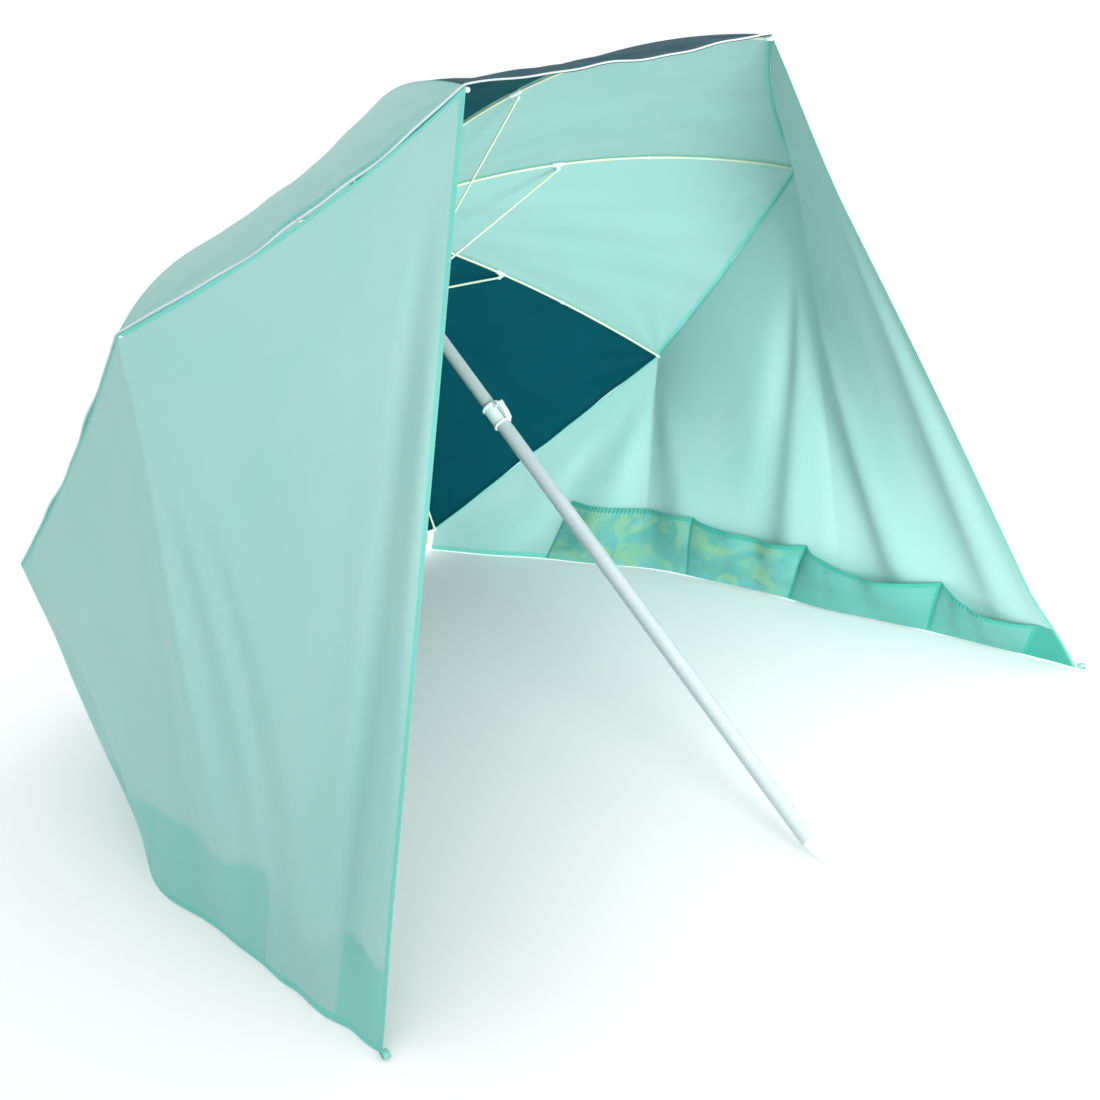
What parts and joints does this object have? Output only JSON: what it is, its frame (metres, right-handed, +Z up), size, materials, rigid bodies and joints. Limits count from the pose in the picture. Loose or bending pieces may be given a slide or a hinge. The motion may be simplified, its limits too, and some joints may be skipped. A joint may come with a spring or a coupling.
{
  "type": "beach umbrella",
  "caption": "Beach umbrella tilted on its spiked two-part pole, with a ribbed dome canopy and two hanging side walls that reach the ground to form a shelter.",
  "frame": {"origin": "tip of the ground spike, on the ground", "axes": "+Z up, +X along the open front to the right seen from the front, +Y back from the spike under the canopy"},
  "size_m": [1.547, 1.3222, 1.1418],
  "materials": {
    "canopy_cloth": "plain weave polyester, dark petrol and pale mint panels",
    "wall_cloth": "plain weave polyester, pale mint",
    "pocket_cloth": "plain weave polyester, soft leaf print",
    "tab_cloth": "woven tape, yellow",
    "piping_tape": "woven binding tape",
    "white_plastic": "moulded, semi-gloss",
    "spike_plastic": "moulded, scuffed at the point",
    "pole_paint": "satin powder coat",
    "rib_rod": "pultruded glass fibre, cream",
    "strut_rod": "cream enamel",
    "steel": "drawn wire"
  },
  "bodies": {
    "lower_pole": {"ground_spike": "spike_plastic", "lower_tube": "pole_paint", "collar_sleeve": "white_plastic", "collar_lever_pin": "steel"},
    "collar_lever": {"collar_lever": "white_plastic"},
    "upper_pole": {"upper_tube": "pole_paint", "guide_bush": "white_plastic", "crown_hub": "white_plastic", "crown_ring": "steel", "finial": "white_plastic"},
    "runner": {"runner_body": "white_plastic", "runner_ring": "steel"},
    "runner_button": {"runner_button": "white_plastic"},
    "rib_0": {"rib_0": "rib_rod", "rib_fittings_0": "white_plastic", "canopy_0": "canopy_cloth"},
    "strut_0": {"strut_0": "strut_rod"},
    "wall_0": {"wall_0": "wall_cloth", "pocket_0": "pocket_cloth"},
    "rib_1": {"rib_1": "rib_rod", "rib_fittings_1": "white_plastic", "canopy_1": "canopy_cloth"},
    "strut_1": {"strut_1": "strut_rod"},
    "wall_1": {"wall_1": "wall_cloth", "pocket_1": "pocket_cloth"},
    "rib_2": {"rib_2": "rib_rod", "rib_fittings_2": "white_plastic", "canopy_2": "canopy_cloth"},
    "strut_2": {"strut_2": "strut_rod"},
    "wall_2": {"wall_2": "wall_cloth", "pocket_2": "pocket_cloth"},
    "rib_3": {"rib_3": "rib_rod", "rib_fittings_3": "white_plastic", "canopy_3": "canopy_cloth"},
    "strut_3": {"strut_3": "strut_rod"},
    "wall_3": {"wall_3": "wall_cloth", "pocket_3": "pocket_cloth"},
    "rib_4": {"rib_4": "rib_rod", "rib_fittings_4": "white_plastic", "canopy_4": "canopy_cloth"},
    "strut_4": {"strut_4": "strut_rod"},
    "wall_4": {"wall_4": "wall_cloth"},
    "rib_5": {"rib_5": "rib_rod", "rib_fittings_5": "white_plastic", "canopy_5": "canopy_cloth"},
    "strut_5": {"strut_5": "strut_rod"},
    "wall_5": {"wall_5": "wall_cloth", "size_tab": "tab_cloth"},
    "rib_6": {"rib_6": "rib_rod", "rib_fittings_6": "white_plastic", "canopy_6": "canopy_cloth"},
    "strut_6": {"strut_6": "strut_rod"},
    "wall_6": {"wall_6": "wall_cloth", "pocket_6": "pocket_cloth"},
    "rib_7": {"rib_7": "rib_rod", "rib_fittings_7": "white_plastic", "canopy_7": "canopy_cloth"},
    "strut_7": {"strut_7": "strut_rod"},
    "wall_7": {"wall_7": "wall_cloth", "pocket_7": "pocket_cloth"}
  },
  "joints": [
    {"name": "canopy_fold", "type": "slide", "parent": "lower_pole", "child": "upper_pole", "axis": [0, 0.8039, 0.5948], "range_m": [0, 0.52]},
    {"name": "collar_lever_hinge", "type": "hinge", "parent": "lower_pole", "child": "collar_lever", "pos_m": [0.00403, 0.72585, 0.56071], "axis": [-0.9781, -0.1237, 0.1671], "range_deg": [0, 50]},
    {"name": "runner_slide", "type": "slide", "parent": "upper_pole", "child": "runner", "axis": [0, -0.8039, -0.5948], "range_m": [0, 0.54375]},
    {"name": "runner_button_press", "type": "slide", "parent": "runner", "child": "runner_button", "axis": [0, -0.5948, 0.8039], "range_m": [0, 0.002], "stiffness_N_per_m": 1500},
    {"name": "rib_0_fold", "type": "hinge", "parent": "upper_pole", "child": "rib_0", "pos_m": [0.00765, 1.07502, 0.81846], "axis": [0.9239, 0.2276, -0.3076], "range_deg": [0, 61.46], "deforming": ["canopy_0"]},
    {"name": "strut_0_swing", "type": "hinge", "parent": "runner", "child": "strut_0", "pos_m": [0.01348, 0.94619, 0.71853], "axis": [-0.9239, -0.2276, 0.3076], "range_deg": [0, 63.26]},
    {"name": "wall_0_hang", "type": "hinge", "parent": "rib_0", "child": "wall_0", "pos_m": [0.28001, 0.39838, 1.13573], "axis": [-0.9239, -0.2276, 0.3076], "range_deg": [0, 93.49], "deforming": ["wall_0", "pocket_0"]},
    {"name": "rib_1_fold", "type": "hinge", "parent": "upper_pole", "child": "rib_1", "pos_m": [-0.0082, 1.07516, 0.81827], "axis": [0.9121, -0.2438, 0.3295], "range_deg": [0, 61.84], "deforming": ["canopy_1"]},
    {"name": "strut_1_swing", "type": "hinge", "parent": "runner", "child": "strut_1", "pos_m": [-0.00151, 0.94312, 0.72268], "axis": [-0.9121, 0.2438, -0.3295], "range_deg": [0, 63.58]},
    {"name": "wall_1_hang", "type": "hinge", "parent": "rib_1", "child": "wall_1", "pos_m": [-0.30368, 0.39938, 1.13611], "axis": [-0.9121, 0.2438, -0.3295], "range_deg": [0, 96.82], "deforming": ["wall_1", "pocket_1"]},
    {"name": "rib_2_fold", "type": "hinge", "parent": "upper_pole", "child": "rib_2", "pos_m": [-0.01848, 1.08146, 0.80976], "axis": [0.3827, -0.5495, 0.7427], "range_deg": [0, 64.42], "deforming": ["canopy_2"]},
    {"name": "strut_2_swing", "type": "hinge", "parent": "runner", "child": "strut_2", "pos_m": [-0.01477, 0.94696, 0.71749], "axis": [-0.3827, 0.5495, -0.7427], "range_deg": [0, 65.89]},
    {"name": "wall_2_hang", "type": "hinge", "parent": "rib_2", "child": "wall_2", "pos_m": [-0.68485, 0.6647, 0.84474], "axis": [-0.3827, 0.5495, -0.7427], "range_deg": [0, 78.52], "deforming": ["wall_2", "pocket_2"]},
    {"name": "rib_3_fold", "type": "hinge", "parent": "upper_pole", "child": "rib_3", "pos_m": [-0.01848, 1.09056, 0.79745], "axis": [-0.3827, -0.5495, 0.7427], "range_deg": [0, 67.61], "deforming": ["canopy_3"]},
    {"name": "strut_3_swing", "type": "hinge", "parent": "runner", "child": "strut_3", "pos_m": [-0.01998, 0.95553, 0.70591], "axis": [0.3827, 0.5495, -0.7427], "range_deg": [0, 68.91]},
    {"name": "wall_3_hang", "type": "hinge", "parent": "rib_3", "child": "wall_3", "pos_m": [-0.7103, 1.03736, 0.4016], "axis": [0.3827, 0.5495, -0.7427], "range_deg": [0, 61.37], "deforming": ["wall_3", "pocket_3"]},
    {"name": "rib_4_fold", "type": "hinge", "parent": "upper_pole", "child": "rib_4", "pos_m": [-0.00765, 1.097, 0.78875], "axis": [-0.9239, -0.2276, 0.3076], "range_deg": [0, 69.03], "deforming": ["canopy_4"]},
    {"name": "strut_4_swing", "type": "hinge", "parent": "runner", "child": "strut_4", "pos_m": [-0.01348, 0.96377, 0.69477], "axis": [0.9239, 0.2276, -0.3076], "range_deg": [0, 70.31]},
    {"name": "wall_4_hang", "type": "hinge", "parent": "rib_4", "child": "wall_4", "pos_m": [-0.30546, 1.30894, 0.05118], "axis": [0.9239, 0.2276, -0.3076], "range_deg": [0, 65.82], "deforming": ["wall_4"]},
    {"name": "rib_5_fold", "type": "hinge", "parent": "upper_pole", "child": "rib_5", "pos_m": [0.00765, 1.097, 0.78875], "axis": [-0.9239, 0.2276, -0.3076], "range_deg": [0, 69.03], "deforming": ["canopy_5"]},
    {"name": "strut_5_swing", "type": "hinge", "parent": "runner", "child": "strut_5", "pos_m": [0.00092, 0.96687, 0.69059], "axis": [0.9239, -0.2276, 0.3076], "range_deg": [0, 70.31]},
    {"name": "wall_5_hang", "type": "hinge", "parent": "rib_5", "child": "wall_5", "pos_m": [0.30546, 1.30894, 0.05118], "axis": [0.9239, -0.2276, 0.3076], "range_deg": [0, 61.31], "deforming": ["wall_5", "size_tab"]},
    {"name": "rib_6_fold", "type": "hinge", "parent": "upper_pole", "child": "rib_6", "pos_m": [0.01848, 1.09056, 0.79745], "axis": [-0.3827, 0.5495, -0.7427], "range_deg": [0, 67.61], "deforming": ["canopy_6"]},
    {"name": "strut_6_swing", "type": "hinge", "parent": "runner", "child": "strut_6", "pos_m": [0.01477, 0.963, 0.69581], "axis": [0.3827, -0.5495, 0.7427], "range_deg": [0, 68.91]},
    {"name": "wall_6_hang", "type": "hinge", "parent": "rib_6", "child": "wall_6", "pos_m": [0.7103, 1.03736, 0.4016], "axis": [0.3827, -0.5495, 0.7427], "range_deg": [0, 76.46], "deforming": ["wall_6", "pocket_6"]},
    {"name": "rib_7_fold", "type": "hinge", "parent": "upper_pole", "child": "rib_7", "pos_m": [0.01848, 1.08146, 0.80976], "axis": [0.3827, 0.5495, -0.7427], "range_deg": [0, 64.42], "deforming": ["canopy_7"]},
    {"name": "strut_7_swing", "type": "hinge", "parent": "runner", "child": "strut_7", "pos_m": [0.01998, 0.95444, 0.70739], "axis": [-0.3827, -0.5495, 0.7427], "range_deg": [0, 65.89]},
    {"name": "wall_7_hang", "type": "hinge", "parent": "rib_7", "child": "wall_7", "pos_m": [0.68485, 0.6647, 0.84474], "axis": [-0.3827, -0.5495, 0.7427], "range_deg": [0, 83.84], "deforming": ["wall_7", "pocket_7"]}
  ],
  "couplings": [
    {"joint": "runner_slide", "follows": "canopy_fold", "ratio": 1.0457},
    {"joint": "rib_0_fold", "follows": "canopy_fold", "rad_per_m": 2.0628},
    {"joint": "strut_0_swing", "follows": "canopy_fold", "rad_per_m": 2.1233},
    {"joint": "wall_0_hang", "follows": "canopy_fold", "rad_per_m": 3.1377},
    {"joint": "rib_1_fold", "follows": "canopy_fold", "rad_per_m": 2.0754},
    {"joint": "strut_1_swing", "follows": "canopy_fold", "rad_per_m": 2.1341},
    {"joint": "wall_1_hang", "follows": "canopy_fold", "rad_per_m": 3.2496},
    {"joint": "rib_2_fold", "follows": "canopy_fold", "rad_per_m": 2.1622},
    {"joint": "strut_2_swing", "follows": "canopy_fold", "rad_per_m": 2.2114},
    {"joint": "wall_2_hang", "follows": "canopy_fold", "rad_per_m": 2.6355},
    {"joint": "rib_3_fold", "follows": "canopy_fold", "rad_per_m": 2.2692},
    {"joint": "strut_3_swing", "follows": "canopy_fold", "rad_per_m": 2.3128},
    {"joint": "wall_3_hang", "follows": "canopy_fold", "rad_per_m": 2.0596},
    {"joint": "rib_4_fold", "follows": "canopy_fold", "rad_per_m": 2.3167},
    {"joint": "strut_4_swing", "follows": "canopy_fold", "rad_per_m": 2.3597},
    {"joint": "wall_4_hang", "follows": "canopy_fold", "rad_per_m": 2.2093},
    {"joint": "rib_5_fold", "follows": "canopy_fold", "rad_per_m": 2.3167},
    {"joint": "strut_5_swing", "follows": "canopy_fold", "rad_per_m": 2.3597},
    {"joint": "wall_5_hang", "follows": "canopy_fold", "rad_per_m": 2.0577},
    {"joint": "rib_6_fold", "follows": "canopy_fold", "rad_per_m": 2.2692},
    {"joint": "strut_6_swing", "follows": "canopy_fold", "rad_per_m": 2.3128},
    {"joint": "wall_6_hang", "follows": "canopy_fold", "rad_per_m": 2.5663},
    {"joint": "rib_7_fold", "follows": "canopy_fold", "rad_per_m": 2.1622},
    {"joint": "strut_7_swing", "follows": "canopy_fold", "rad_per_m": 2.2114},
    {"joint": "wall_7_hang", "follows": "canopy_fold", "rad_per_m": 2.8138}
  ]
}
